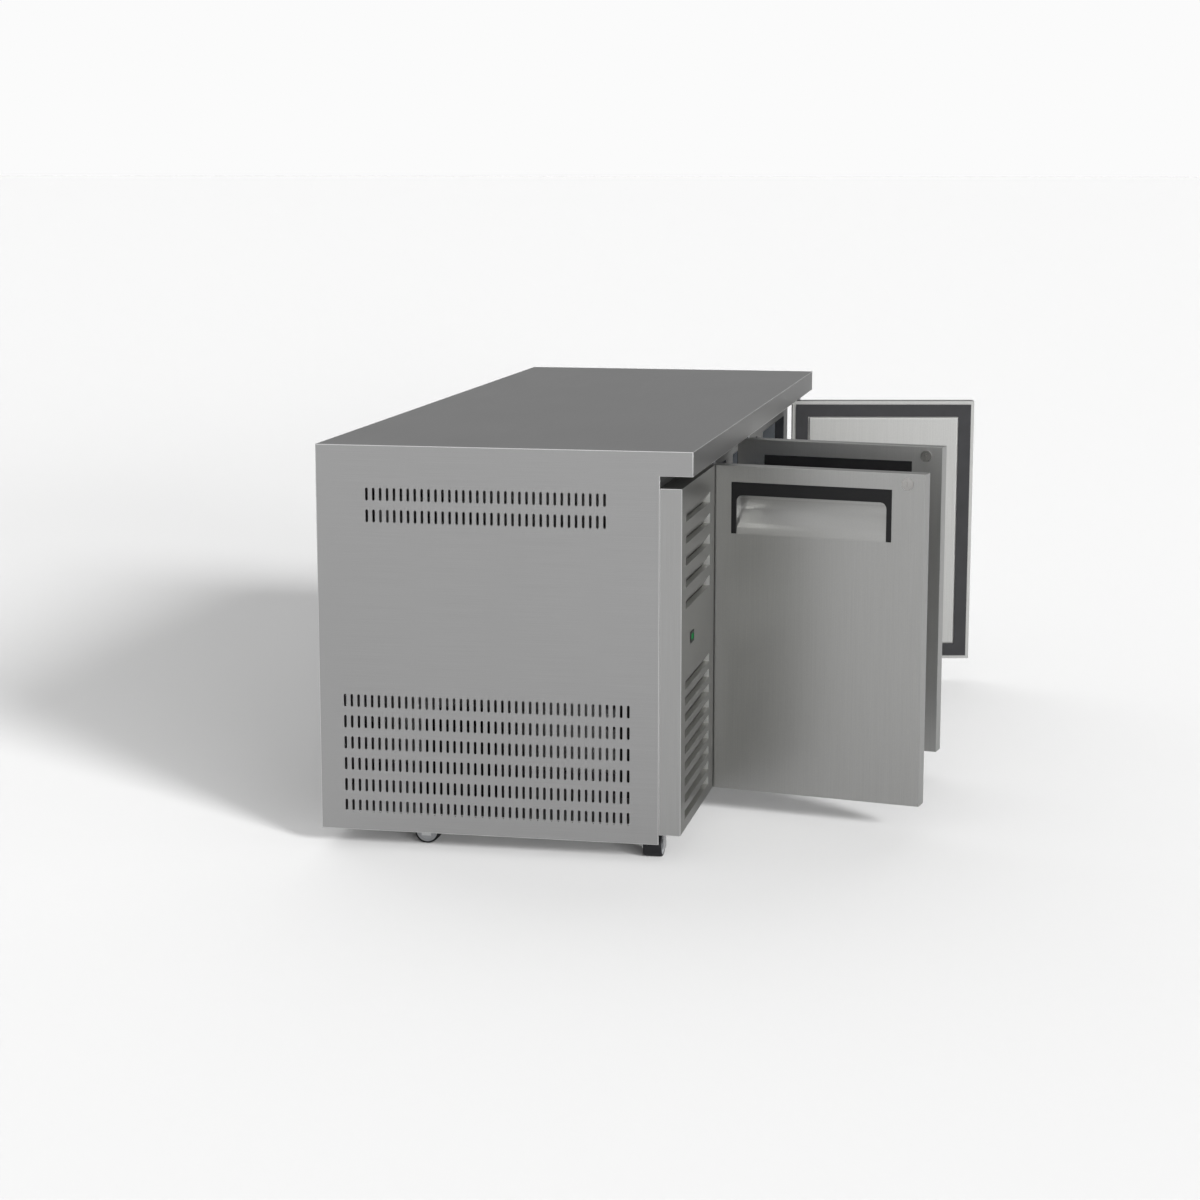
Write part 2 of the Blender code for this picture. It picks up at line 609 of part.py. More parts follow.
def brackets(number, pin_x, steel):
    """Fixed hinge plates above and below a door, each with the pin that the door turns on."""
    left, right = pin_x - BRACKET_HALF_WIDTH, pin_x + BRACKET_HALF_WIDTH
    back = BODY_FRONT - GAP
    front = PIN_Y - 0.008
    clear = 0.001
    top_low = DOOR_TOP + clear
    bottom_low = DOOR_BOTTOM - clear - BRACKET_THICKNESS
    # name, underside of the plate, top of the flange that is screwed to the body, span of the pin
    kinds = (("hinge_top_%d", top_low, DOOR_TOP + 0.018, (DOOR_TOP - PIN_LENGTH, DOOR_TOP + 0.002)),
             ("hinge_bottom_%d", bottom_low, DOOR_BOTTOM + 0.0075,
              (DOOR_BOTTOM - 0.002, DOOR_BOTTOM + PIN_LENGTH)))
    for name, low, flange_top, pin in kinds:
        bracket = box(name % number, (left, front, low), (right, back, low + BRACKET_THICKNESS), steel)
        join(bracket,
             box("flange", (left, back - 0.002, low), (right, back, flange_top)),
             cylinder("pin", (pin_x, PIN_Y), PIN_RADIUS, "Z", pin[0], pin[1], segments=16))


# ---- Castors ------------------------------------------------------------------------------
def castor(name, pivot_x, pivot_y, trail_deg, steel, rubber):
    """Swivel castor in its own axes: pivot at the origin, wheel trailing along +x."""
    plate_low = BASE_BOTTOM - GAP - CASTOR_PLATE
    crown_high = CROWN_TOP
    crown_low = CROWN_TOP - CASTOR_PLATE
    leg_in = WHEEL_HALF_WIDTH + 0.0012
    leg_out = leg_in + CASTOR_PLATE
    plate = box(name + "_plate", (-0.028, -0.015, plate_low), (0.028, 0.045, plate_low + CASTOR_PLATE), steel)
    join(plate, cylinder("king_pin", (0.0, 0.0), KING_PIN_RADIUS, "Z", crown_high + 0.0015, plate_low + 0.001,
                         segments=16))

    fork = box(name + "_fork", (-0.014, -leg_out, crown_low), (TRAIL + 0.010, leg_out, crown_high), steel)
    for sign in (-1, 1):
        span = sorted((sign * leg_in, sign * leg_out))
        join(fork, box("leg", (TRAIL - 0.009, span[0], WHEEL_RADIUS - 0.008),
                       (TRAIL + 0.009, span[1], crown_low + 0.001)))
    axle_end = leg_out - 0.0002
    king_bore = KING_PIN_RADIUS + 0.00015
    join(fork,
         cylinder("race", (0.0, 0.0), 0.015, "Z", crown_high - 0.001, plate_low - 0.0005, segments=24),
         cylinder("axle", (TRAIL, WHEEL_RADIUS), AXLE_RADIUS, "Y", -axle_end, axle_end, segments=16))
    cut(fork, cylinder("king_bore", (0.0, 0.0), king_bore, "Z", crown_high + 0.001, BASE_BOTTOM, segments=16))

    half = WHEEL_HALF_WIDTH
    wheel = cylinder(name + "_wheel", (0.0, 0.0), WHEEL_RADIUS, "Y", -half, half, rubber, 32)
    cut(wheel, cylinder("bore", (0.0, 0.0), AXLE_RADIUS + 0.00015, "Y", -0.03, 0.03, segments=16))

    seat = empty(name + "_pivot", (pivot_x, pivot_y, 0.0))
    swivel = empty(name + "_swivel", (0.0, 0.0, 0.0), trail_deg)
    axle = empty(name + "_axle", (TRAIL, 0.0, WHEEL_RADIUS))
    hang(seat, plate, swivel)
    hang(swivel, fork, axle)
    hang(axle, wheel)


# ---- Whole object -------------------------------------------------------------------------
def main():
    clear_scene()
    steel = material("brushed_steel", (0.55, 0.55, 0.54), 0.35, 1.0)
    inner_steel = material("inner_steel", (0.66, 0.66, 0.65), 0.35, 1.0)
    liner_steel = material("liner_steel", (0.45, 0.48, 0.52), 0.40, 1.0)
    foam = material("foam", (0.80, 0.74, 0.52), 0.90, 0.0)
    breaker = material("breaker_plastic", (0.06, 0.06, 0.07), 0.50, 0.0)
    gasket = material("gasket_rubber", (0.08, 0.08, 0.085), 0.60, 0.0)
    black = material("black_plastic", (0.012, 0.012, 0.013), 0.45, 0.0)
    lens = material("display_lens", (0.01, 0.10, 0.03), 0.15, 0.0)
    chrome = material("lock_chrome", (0.70, 0.70, 0.68), 0.15, 1.0)
    wire = material("shelf_wire", (0.75, 0.76, 0.76), 0.30, 1.0)
    aluminium = material("fin_aluminium", (0.70, 0.71, 0.72), 0.40, 1.0)
    zinc = material("castor_zinc", (0.62, 0.63, 0.64), 0.40, 1.0)
    tread = material("castor_tread", (0.03, 0.03, 0.035), 0.70, 0.0)
    paint = material("compressor_paint", (0.02, 0.02, 0.02), 0.45, 0.0)
    fan_plastic = material("fan_plastic", (0.10, 0.10, 0.11), 0.55, 0.0)

    worktop(steel)
    side_panels(steel)
    rear_panel(steel)
    base_and_partition(steel)
    insulation(foam)
    inner_liner(liner_steel)
    front_frame(steel)
    breaker_strips(breaker)
    shelves(wire)
    grille_panel(steel)
    controller(black, lens)
    machine(zinc, paint, aluminium, fan_plastic)
    evaporator(liner_steel, aluminium, fan_plastic)
    for number in (1, 2, 3):
        door(number, steel, inner_steel, gasket, black, chrome)
    for name, pivot_x, pivot_y, trail_deg in CABINET_CASTORS:
        castor(name, pivot_x, pivot_y, trail_deg, zinc, tread)


main()
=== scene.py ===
"""Looks of the three-door undercounter refrigerator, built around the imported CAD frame.

Metres, +Z up, the front faces -Y. The CAD bodies carry every piece made here.
"""
import math

import bmesh
import bpy
from mathutils import Matrix, Vector


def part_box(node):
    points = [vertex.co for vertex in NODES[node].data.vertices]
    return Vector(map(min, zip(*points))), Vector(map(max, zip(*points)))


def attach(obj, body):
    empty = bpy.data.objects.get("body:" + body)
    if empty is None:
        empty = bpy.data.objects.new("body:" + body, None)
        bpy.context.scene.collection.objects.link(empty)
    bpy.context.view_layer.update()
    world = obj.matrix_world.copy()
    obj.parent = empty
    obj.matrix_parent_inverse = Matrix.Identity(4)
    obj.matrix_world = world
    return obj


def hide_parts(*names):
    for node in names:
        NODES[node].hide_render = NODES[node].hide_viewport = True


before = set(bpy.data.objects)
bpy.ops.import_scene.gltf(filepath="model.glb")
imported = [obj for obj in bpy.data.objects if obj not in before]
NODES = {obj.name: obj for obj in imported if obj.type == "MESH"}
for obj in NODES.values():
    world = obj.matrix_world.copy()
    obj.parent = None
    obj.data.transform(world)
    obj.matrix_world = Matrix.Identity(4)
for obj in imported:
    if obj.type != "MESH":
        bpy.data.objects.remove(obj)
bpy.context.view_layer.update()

# ---- Camera, measured from the middle of the cabinet's floor ------------------------------
CAMERA_PLACE = (-5.3642, -1.0797, 1.2674)
CAMERA_HEADING_DEG = 11.379      # from +X towards +Y
CAMERA_TILT_DEG = -9.743
CAMERA_LENS_MM = 76.85

# ---- Light: headings are measured from +X towards +Y, and say which way the light travels --
SKY_LEFT = 0.80                  # brightness of the surround towards -X
SKY_RIGHT = 0.22                 # and towards +X
PAPER_STRENGTH = 0.965           # the surround as the camera sees it
FLOOR_SIZE = 400.0
FLOOR_COLOUR = (0.50, 0.50, 0.50)
FLOOR_IN_REFLECTIONS = (0.27, 0.27, 0.27)
# heading, height above the horizon and width of each far lamp in degrees, and its strength in W/m2
FLOOR_LAMPS = (
    (50.0, 22.0, 14.0, 6.2),
    (46.0, 8.0, 10.0, 1.50),
    (39.0, 6.5, 10.0, 1.70),
    (32.0, 5.0, 9.0, 1.90),
    (25.0, 4.0, 8.0, 2.20),
    (18.0, 3.2, 6.0, 2.40),
    (200.0, 38.0, 70.0, 1.9),
)
SIDE_LAMP = (48.0, 26.0, 9.0, 0.95)         # lights every piece but the worktop
EDGE_LAMPS = ((85.0, 3.0, 6.0, 0.35), (60.0, 82.0, 8.0, 0.25))

# ---- Sizes of the details that the CAD leaves to this script ------------------------------
SLOT_WIDTH = 0.0050
SLOT_HEIGHT = 0.0240
SLOT_PITCH = 0.01303
ROW_MARGIN = 0.004                         # plain sheet kept above and below a row's slots
BEND_RADIUS = 0.0013                       # outer edges of the sheet panels
WELD = 0.000005
UPPER_SLOT_DROPS = (0.078, 0.118)          # tops of the rows, below the worktop's top
UPPER_SLOT_FIRST = 0.158                   # behind the worktop's front edge
UPPER_SLOT_COUNT = 35
LOWER_SLOT_DROPS = tuple(0.464 + 0.040 * row for row in range(6))
LOWER_SLOT_FIRST = 0.1140
LOWER_SLOT_COUNT = 42
WIRE_RADIUS = 0.0016
RIM_RADIUS = 0.0020
# The rear panel's windows, as the CAD cuts them, and the slats behind them
WINDOW_INSET = 0.050                       # from each end of the machine compartment
WINDOW_FIRST = 0.300                       # bottom of the lowest one
WINDOW_PITCH = 0.055
WINDOW_HEIGHT = 0.022
WINDOW_COUNT = 6
SLAT_GAP = 0.0004                          # between the rear panel and a slat
SLAT_DEPTH = 0.0140
SLAT_OVERLAP = 0.0020                      # above and below its window
SLAT_THICKNESS = 0.0015
# The louvred tray, from its outer corner
RETURN_REACH = 0.004                       # the tray's return lies within this of the corner
LOUVRE_START = 0.050                       # every louvre's end wall lies beyond this
# A castor's wheel: radii that are parts of the wheel's radius
TYRE_SEAT = 0.84
HUB_EDGE = 0.845
HUB_RIB = 0.74
HUB_DISH = 0.68
# radii in metres
TYRE_SHOULDER = 0.0035
HUB_BORE = 0.00365
HUB_BOSS = 0.0075
HUB_BOSS_FOOT = 0.0085
# and depths in from the wheel's sides
TYRE_SEAT_DEPTH = 0.0006
HUB_EDGE_DEPTH = 0.0008
HUB_DISH_DEPTH = 0.0025
HUB_BOSS_DEPTH = 0.0010
HUB_BOSS_FOOT_DEPTH = 0.0035


# ---- Node materials -----------------------------------------------------------------------
class Shader:
    """A Principled material and short calls for the nodes that feed it."""

    def __init__(self, name, **sockets):
        self.material = bpy.data.materials.new(name)
        self.material.use_nodes = True
        self.nodes = self.material.node_tree.nodes
        self.links = self.material.node_tree.links
        self.out = self.nodes["Principled BSDF"]
        self.set(self.out, sockets)

    def set(self, node, sockets):
        for socket, value in sockets.items():
            name = socket.replace("_", " ")
            if name == "Base Color" or name == "Emission Color":
                value = (*value, 1.0) if len(value) == 3 else value
            node.inputs[name].default_value = value

    def add(self, kind, **values):
        node = self.nodes.new(kind)
        for name, value in values.items():
            setattr(node, name, value)
        return node

    def link(self, source, target):
        self.links.new(source, target)

    def place(self, scale=(1.0, 1.0, 1.0)):
        """Object coordinates, stretched, so that a pattern keeps its place on the part."""
        where = self.add("ShaderNodeTexCoord")
        mapping = self.add("ShaderNodeMapping")
        mapping.inputs["Scale"].default_value = scale
        self.link(where.outputs["Object"], mapping.inputs["Vector"])
        return mapping.outputs["Vector"]

    def noise(self, vector, scale, detail=4.0, rough=0.55):
        node = self.add("ShaderNodeTexNoise")
        node.inputs["Scale"].default_value = scale
        node.inputs["Detail"].default_value = detail
        node.inputs["Roughness"].default_value = rough
        self.link(vector, node.inputs["Vector"])
        return node.outputs["Fac"]

    def span(self, value, low, high, from_low=0.25, from_high=0.75):
        """The value's usual range, mapped to low..high."""
        node = self.add("ShaderNodeMapRange")
        node.inputs["From Min"].default_value = from_low
        node.inputs["From Max"].default_value = from_high
        node.inputs["To Min"].default_value = low
        node.inputs["To Max"].default_value = high
        self.link(value, node.inputs["Value"])
        return node.outputs["Result"]

    def mix(self, factor, first, second):
        node = self.add("ShaderNodeMix", data_type="RGBA")
        node.inputs["A"].default_value = (*first, 1.0)
        node.inputs["B"].default_value = (*second, 1.0)
        self.link(factor, node.inputs["Factor"])
        return node.outputs["Result"]

    def sum(self, first, second, operation="ADD"):
        node = self.add("ShaderNodeMath", operation=operation)
        self.link(first, node.inputs[0])
        if isinstance(second, (int, float)):
            node.inputs[1].default_value = second
        else:
            self.link(second, node.inputs[1])
        return node.outputs["Value"]

    def bump(self, height, distance, strength=1.0):
        node = self.add("ShaderNodeBump")
        node.inputs["Distance"].default_value = distance
        node.inputs["Strength"].default_value = strength
        self.link(height, node.inputs["Height"])
        self.link(node.outputs["Normal"], self.out.inputs["Normal"])

    def colour(self, socket):
        self.link(socket, self.out.inputs["Base Color"])

    def roughness(self, socket):
        self.link(socket, self.out.inputs["Roughness"])


def brushed(name, colour, roughness, along="X", contrast=0.06):
    """Brushed stainless: long fine scratches along one axis, and a faint slow mottle across the sheet."""
    shader = Shader(name, Metallic=1.0, Roughness=roughness)
    long_way, cross_way = 6.0, 900.0
    scale = {"X": (long_way, cross_way, cross_way), "Y": (cross_way, long_way, cross_way),
             "Z": (cross_way, cross_way, long_way)}[along]
    lines = shader.noise(shader.place(scale), 1.0, 3.0, 0.6)
    fine = shader.noise(shader.place(tuple(3.1 * part for part in scale)), 1.0, 2.0, 0.5)
    cloud = shader.noise(shader.place(), 5.0, 3.0, 0.5)
    speckle = shader.noise(shader.place(), 900.0, 1.0, 0.5)
    dark = tuple(part * (1.0 - contrast) for part in colour)
    light = tuple(min(1.0, part * (1.0 + contrast)) for part in colour)
    tone = shader.sum(shader.sum(lines, 0.5, "MULTIPLY"), shader.sum(speckle, 0.5, "MULTIPLY"))
    shader.colour(shader.mix(shader.span(tone, 0.0, 1.0, 0.35, 0.65), dark, light))
    rough = shader.sum(shader.span(lines, roughness - 0.03, roughness + 0.03), shader.span(cloud, -0.02, 0.02))
    shader.roughness(rough)
    shader.bump(shader.sum(lines, fine), 0.00001, 0.35)
    return shader.material


def plastic(name, colour, roughness, grain=0.00004, variation=0.12):
    """Moulded plastic or rubber with a fine spark-eroded grain."""
    shader = Shader(name, Metallic=0.0, Roughness=roughness, Specular_IOR_Level=0.4)
    spot = shader.place()
    leather = shader.noise(spot, 1400.0, 3.0, 0.6)
    cloud = shader.noise(spot, 22.0, 4.0, 0.6)
    low = tuple(part * (1.0 - variation) for part in colour)
    high = tuple(part * (1.0 + variation) for part in colour)
    shader.colour(shader.mix(shader.span(cloud, 0.0, 1.0), low, high))
    shader.roughness(shader.span(cloud, roughness - 0.05, roughness + 0.05))
    shader.bump(leather, grain, 0.5)
    return shader.material


def metal(name, colour, roughness, variation=0.08):
    """Plated or cast metal with a slight uneven bloom."""
    shader = Shader(name, Metallic=1.0, Roughness=roughness)
    spot = shader.place()
    bloom = shader.noise(spot, 60.0, 4.0, 0.6)
    grain = shader.noise(spot, 400.0, 2.0, 0.5)
    low = tuple(part * (1.0 - variation) for part in colour)
    high = tuple(min(1.0, part * (1.0 + variation)) for part in colour)
    shader.colour(shader.mix(shader.span(bloom, 0.0, 1.0), low, high))
    shader.roughness(shader.span(bloom, roughness - 0.06, roughness + 0.06))
    shader.bump(grain, 0.00002, 0.4)
    return shader.material


def fins(name, colour):
    """A heat exchanger's face of thin upright fins, with painted shade in the dark bands between them."""
    shader = Shader(name, Metallic=1.0, Roughness=0.45)
    wave = shader.add("ShaderNodeTexWave", wave_type="BANDS", bands_direction="X", wave_profile="SIN")
    wave.inputs["Scale"].default_value = 130.0
    shader.link(shader.place(), wave.inputs["Vector"])
    shader.colour(shader.mix(wave.outputs["Fac"], tuple(part * 0.25 for part in colour), colour))
    shader.bump(wave.outputs["Fac"], 0.0006, 0.8)
    return shader.material


def lit_display(name):
    """Dark window with a dim green glow, uneven as behind a tinted filter."""
    shader = Shader(name, Metallic=0.0, Roughness=0.30, Base_Color=(0.002, 0.012, 0.006),
                    Emission_Strength=1.0, IOR=1.05)
    glow = shader.noise(shader.place(), 160.0, 2.0, 0.5)
    shader.link(shader.mix(shader.span(glow, 0.0, 1.0), (0.0, 0.09, 0.020), (0.0, 0.20, 0.045)),
                shader.out.inputs["Emission Color"])
    return shader.material


def foam(name):
    shader = Shader(name, Metallic=0.0, Roughness=0.95)
    spot = shader.place()
    cells = shader.noise(spot, 500.0, 3.0, 0.7)
    shader.colour(shader.mix(shader.span(cells, 0.0, 1.0), (0.62, 0.54, 0.34), (0.78, 0.70, 0.47)))
    shader.bump(cells, 0.0004, 0.8)
    return shader.material


STEEL = (0.55, 0.55, 0.55)
MATERIALS = {
    "side_steel": brushed("side_steel", STEEL, 0.42, "Y"),
    # The worktop's top gets a lighter and its lip a darker copy of one steel: painted light on the top, painted shade
    # on the lip.
    "top_lit_steel": brushed("top_lit_steel", (0.58, 0.58, 0.58), 0.40, "X"),
    "lip_shaded_steel": brushed("lip_shaded_steel", (0.34, 0.34, 0.34), 0.40, "X"),
    # The tray's face gets a darker and its return a lighter copy of one steel: painted shade on the face, painted light
    # on the return.
    "tray_face_shaded_steel": brushed("tray_face_shaded_steel", (0.41, 0.41, 0.395), 0.36, "X"),
    "return_lit_steel": brushed("return_lit_steel", (0.57, 0.57, 0.565), 0.40, "Z"),
    # The near-white steel on the bent edges is a painted highlight.
    "painted_highlight_steel": brushed("painted_highlight_steel", (0.95, 0.95, 0.95), 0.34, "Z", 0.04),
    # The paler steel of the louvres' end walls is painted light.
    "louvre_end_lit_steel": brushed("louvre_end_lit_steel", (0.90, 0.90, 0.88), 0.40, "Z"),
    # The front frame's near-black steel is painted shade, for the shadow under the worktop's lip.
    "frame_shaded_steel": brushed("frame_shaded_steel", (0.15, 0.15, 0.15), 0.40, "X"),
    "door_steel": brushed("door_steel", (0.60, 0.60, 0.59), 0.36, "Z"),
    # The scoop's darker copy of the door steel is painted shade in the recess.
    "scoop_shaded_steel": brushed("scoop_shaded_steel", (0.53, 0.53, 0.52), 0.38, "X"),
    "inner_steel": brushed("inner_steel", (0.86, 0.86, 0.84), 0.40, "Z"),
    "liner_steel": brushed("liner_steel", (0.55, 0.58, 0.62), 0.40, "X"),
    "foam": foam("foam"),
    "breaker": plastic("breaker", (0.030, 0.031, 0.036), 0.50),
    "gasket": plastic("gasket", (0.062, 0.062, 0.066), 0.62),
    "black": plastic("black", (0.010, 0.010, 0.011), 0.42),
    "tread": plastic("tread", (0.022, 0.022, 0.026), 0.62, 0.00008, 0.25),
    "hub": plastic("hub", (0.60, 0.61, 0.63), 0.45),
    "paint": plastic("paint", (0.012, 0.012, 0.013), 0.38, 0.00002),
    "fan_plastic": plastic("fan_plastic", (0.05, 0.05, 0.055), 0.5),
    "lock": metal("lock", (0.66, 0.65, 0.63), 0.20),
    "wire": metal("wire", (0.72, 0.73, 0.74), 0.24),
    # The forks' metal is paler than the zinc: painted light, making up for the dark underside they reflect.
    "fork": metal("fork", (0.82, 0.82, 0.83), 0.42),
    "zinc": metal("zinc", (0.62, 0.63, 0.65), 0.38),
    "fins": fins("fins", (0.72, 0.73, 0.74)),
    "display": lit_display("display"),
}


# ---- Mesh tools ---------------------------------------------------------------------------
def finish(name, shape, finish_name, smooth_deg=None):
    """Turns a bmesh into a piece with outward normals, smooth over edges that bend less than smooth_deg."""
    bmesh.ops.recalc_face_normals(shape, faces=shape.faces)
    mesh = bpy.data.meshes.new(name)
    shape.to_mesh(mesh)
    shape.free()
    mesh.materials.append(MATERIALS[finish_name])
    piece = bpy.data.objects.new(name, mesh)
    bpy.context.scene.collection.objects.link(piece)
    if smooth_deg is not None:
        mesh.shade_smooth()
        edges = bmesh.new()
        edges.from_mesh(mesh)
        limit = math.radians(smooth_deg)
        for edge in edges.edges:
            edge.smooth = len(edge.link_faces) != 2 or edge.calc_face_angle() < limit
        edges.to_mesh(mesh)
        edges.free()
        flat_stays_flat = piece.modifiers.new("flat_stays_flat", "WEIGHTED_NORMAL")
        flat_stays_flat.keep_sharp = True
    return piece


def add_rod(shape, start, end, radius, segments=10):
    """A round bar between two points."""
    start, end = Vector(start), Vector(end)
    way = end - start
    made = bmesh.ops.create_cone(shape, cap_ends=True, segments=segments, radius1=radius, radius2=radius,
                                 depth=way.length)["verts"]
    turn = Vector((0, 0, 1)).rotation_difference(way.normalized()).to_matrix().to_4x4()
    bmesh.ops.transform(shape, matrix=Matrix.Translation((start + end) / 2) @ turn, verts=made)


def slot_outline(centre, width, height, steps=4):
    """An upright slot with round ends, starting on its right side and going round by its top."""
    radius = width / 2
    straight = height / 2 - radius
    points = []
    for end in (1, -1):
        for index in range(steps + 1):
            turn = math.pi * index / steps + (0.0 if end > 0 else math.pi)
            points.append((centre[0] + radius * math.cos(turn), centre[1] + end * straight + radius * math.sin(turn)))
    return points


# ---- Side panel with its vent slots -------------------------------------------------------
class Sheet:
    """A flat sheet in y and z at one x, built from patches that share their corners."""

    def __init__(self, x):
        self.x = x
        self.shape = bmesh.new()

    def patch(self, points):
        self.shape.faces.new([self.shape.verts.new((self.x, y, z)) for y, z in points])

    def slot_cell(self, y_low, y_high, z_low, z_high):
        """A patch with one vent slot in its middle."""
        hole = slot_outline(((y_low + y_high) / 2, (z_low + z_high) / 2), SLOT_WIDTH, SLOT_HEIGHT)
        half = len(hole) // 2
        self.patch([(y_high, z_high), (y_low, z_high)] + hole[:half][::-1])
        self.patch([(y_low, z_low), (y_high, z_low)] + hole[half:][::-1])
        self.patch([(y_low, z_high), (y_low, z_low), hole[half], hole[half - 1]])
        self.patch([(y_high, z_low), (y_high, z_high), hole[0], hole[-1]])

    def plain(self, front, back, z_low, z_high, low_stops, high_stops, front_stops=()):
        """A plain patch that has a corner wherever the row below or above it starts a cell."""
        points = [(front, z_low)] + [(y, z_low) for y in low_stops] + [(back, z_low), (back, z_high)]
        points += [(y, z_high) for y in reversed(high_stops)] + [(front, z_high)]
        points += [(front, z) for z in front_stops]
        self.patch(points)


def side_panel_left():
    """The end sheet, with every vent slot cut right through and its outer edges bent round."""
    low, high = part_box("side_panel_left")
    lip_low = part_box("worktop")[0][2]
    body_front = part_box("front_frame")[0][1]
    front, back, bottom, top = low[1], high[1], low[2], high[2]
    rows = [(top - drop, UPPER_SLOT_FIRST, UPPER_SLOT_COUNT) for drop in UPPER_SLOT_DROPS]
    rows += [(top - drop, LOWER_SLOT_FIRST, LOWER_SLOT_COUNT) for drop in LOWER_SLOT_DROPS]
    sheet = Sheet(low[0])
    sheet.patch([(front, lip_low), (body_front, lip_low), (body_front, top), (front, top)])
    ceiling, above = top, []
    for row_top, first, count in rows:
        z_high = row_top + ROW_MARGIN
        z_low = row_top - SLOT_HEIGHT - ROW_MARGIN
        start = front + first - (SLOT_PITCH - SLOT_WIDTH) / 2
        stops = [start + index * SLOT_PITCH for index in range(count + 1)]
        sheet.plain(body_front, back, z_high, ceiling, stops, above, (lip_low,) if ceiling == top else ())
        sheet.patch([(body_front, z_low), (start, z_low), (start, z_high), (body_front, z_high)])
        for left, right in zip(stops, stops[1:]):
            sheet.slot_cell(left, right, z_low, z_high)
        sheet.patch([(stops[-1], z_low), (back, z_low), (back, z_high), (stops[-1], z_high)])
        ceiling, above = z_low, stops
    sheet.plain(body_front, back, bottom, ceiling, [], above)

    shape = sheet.shape
    bmesh.ops.remove_doubles(shape, verts=shape.verts, dist=WELD)
    faces = list(shape.faces)
    bmesh.ops.recalc_face_normals(shape, faces=faces)
    grown = bmesh.ops.extrude_face_region(shape, geom=faces, use_keep_orig=True)["geom"]
    inner = [part for part in grown if isinstance(part, bmesh.types.BMVert)]
    bmesh.ops.translate(shape, verts=inner, vec=(high[0] - low[0], 0.0, 0.0))
    outline = [(body_front, bottom), (back, bottom), (back, top), (front, top), (front, lip_low), (body_front, lip_low)]
    rim = [edge for edge in shape.edges if lies_on(edge, outline, low[0])]
    bmesh.ops.bevel(shape, geom=rim, offset=BEND_RADIUS, segments=4, profile=0.5, affect="EDGES")
    panel = finish("side_panel_left_vented", shape, "side_steel", 25)
    # The bent edges get the near-white steel: a painted highlight.
    add_painted_tone(panel, "painted_highlight_steel", lambda face: is_bend(face) and face.center.x < low[0] + BEND_RADIUS)
    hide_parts("side_panel_left")
    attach(panel, "cabinet")


def lies_on(edge, outline, x):
    """True for an edge of the outer face that runs along the sheet's outline."""
    spots = [vert.co for vert in edge.verts]
    if any(abs(spot.x - x) > WELD for spot in spots):
        return False
    for index, first in enumerate(outline):
        second = outline[(index + 1) % len(outline)]
        axis = 1 if abs(first[0] - second[0]) < WELD else 2
        wanted = first[axis - 1]
        reach = sorted((first[2 - axis], second[2 - axis]))
        along = 3 - axis
        if all(abs(spot[axis] - wanted) < WELD and reach[0] - WELD < spot[along] < reach[1] + WELD for spot in spots):
            return True
    return False


# ---- Shelves ------------------------------------------------------------------------------
def wire_shelf(number):
    """Round wire shelf: a rim, two bearers, and the wires that cross them."""
    node = "shelf_%d" % number
    low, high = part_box(node)
    shape = bmesh.new()
    z_rim = low[2] + RIM_RADIUS
    z_wire = high[2] - WIRE_RADIUS
    left, right = low[0] + RIM_RADIUS, high[0] - RIM_RADIUS
    front, back = low[1] + RIM_RADIUS, high[1] - RIM_RADIUS
    for y in (front, back):
        add_rod(shape, (left, y, z_rim), (right, y, z_rim), RIM_RADIUS)
    for x in (left, right):
        add_rod(shape, (x, front, z_rim), (x, back, z_rim), RIM_RADIUS)
    for part in (1, 2):
        y = front + (back - front) * part / 3
        add_rod(shape, (left, y, z_rim), (right, y, z_rim), RIM_RADIUS * 0.9)
    count = 18
    for index in range(1, count):
        x = left + (right - left) * index / count
        add_rod(shape, (x, front, z_wire), (x, back, z_wire), WIRE_RADIUS, 8)
    shelf = finish("wire_shelf_%d" % number, shape, "wire", 40)
    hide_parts(node)
    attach(shelf, "cabinet")


# ---- Sheets that keep the CAD's shape -----------------------------------------------------
def cad_shape(node):
    """A copy of a CAD body's mesh with its corners joined, so that it can be smoothed and rounded."""
    shape = bmesh.new()
    shape.from_mesh(NODES[node].data)
    bmesh.ops.remove_doubles(shape, verts=shape.verts, dist=WELD)
    return shape


def round_edges(shape, wanted):
    """Bends the chosen edges round, once the flat faces beside them are whole."""
    bmesh.ops.dissolve_limit(shape, angle_limit=math.radians(0.2), verts=shape.verts, edges=shape.edges)
    edges = [edge for edge in shape.edges if len(edge.link_faces) == 2 and wanted([vert.co for vert in edge.verts])]
    bmesh.ops.bevel(shape, geom=edges, offset=BEND_RADIUS, segments=4, profile=0.5, affect="EDGES")


def add_painted_tone(piece, finish_name, wanted):
    """Gives the faces that pass the test another material, here always a lighter or darker copy of a steel that paints
    light or shade on them.
    """
    piece.data.materials.append(MATERIALS[finish_name])
    for face in piece.data.polygons:
        if wanted(face):
            face.material_index = len(piece.data.materials) - 1


def is_bend(face):
    """True for a face that lies between two of the sheet's square directions."""
    return sum(abs(part) > 0.15 for part in face.normal) >= 2


def worktop_skin():
    """The top and its lips, with every outer edge bent round."""
    low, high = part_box("worktop")

    def outer(spots):
        shared = [axis for axis in range(3)
                  if any(all(abs(spot[axis] - side[axis]) < WELD for spot in spots) for side in (low, high))]
        return len(shared) == 2

    shape = cad_shape("worktop")
    round_edges(shape, outer)
    skin = finish("worktop_skin", shape, "top_lit_steel", 40)
    # The lip's faces get the darker steel: painted shade.
    add_painted_tone(skin, "lip_shaded_steel", lambda face: face.normal.y < -0.99)
    # The bends get the near-white steel: a painted highlight.
    add_painted_tone(skin, "painted_highlight_steel", is_bend)
    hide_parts("worktop")
    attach(skin, "cabinet")


